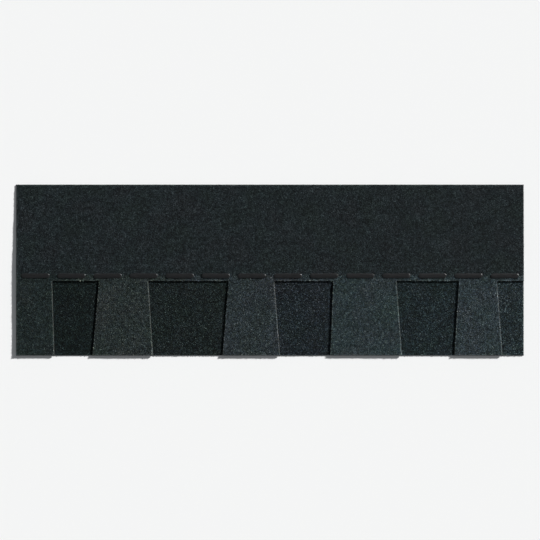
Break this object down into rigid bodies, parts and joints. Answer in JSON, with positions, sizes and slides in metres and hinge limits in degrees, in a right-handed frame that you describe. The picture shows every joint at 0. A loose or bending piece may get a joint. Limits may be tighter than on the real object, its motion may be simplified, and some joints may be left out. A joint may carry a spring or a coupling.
{
  "type": "laminated asphalt shingle",
  "caption": "Laminated asphalt roof shingle: a granule-coated sheet with tapered teeth bonded to a backer strip, lying face up, with sealant dashes and a release tape on its back.",
  "frame": {"origin": "centre of the footprint, on the plane that the shingle lies on", "axes": "+X along the course, +Y from the butt edge up the slope to the top edge, +Z out of the granule face"},
  "size_m": [1, 0.337, 0.0055],
  "materials": {
    "sheet_granules": "matt charcoal mineral granules on bitumen",
    "backer_granules": "matt near-black mineral granules on bitumen",
    "sealant_bitumen": "satin black polymer-modified bitumen",
    "release_film": "clear release film over bitumen"
  },
  "bodies": {
    "root": {"toothed_sheet": "sheet_granules", "backer_strip": "backer_granules", "sealant_strip": "sealant_bitumen", "release_tape": "release_film"}
  },
  "joints": []
}
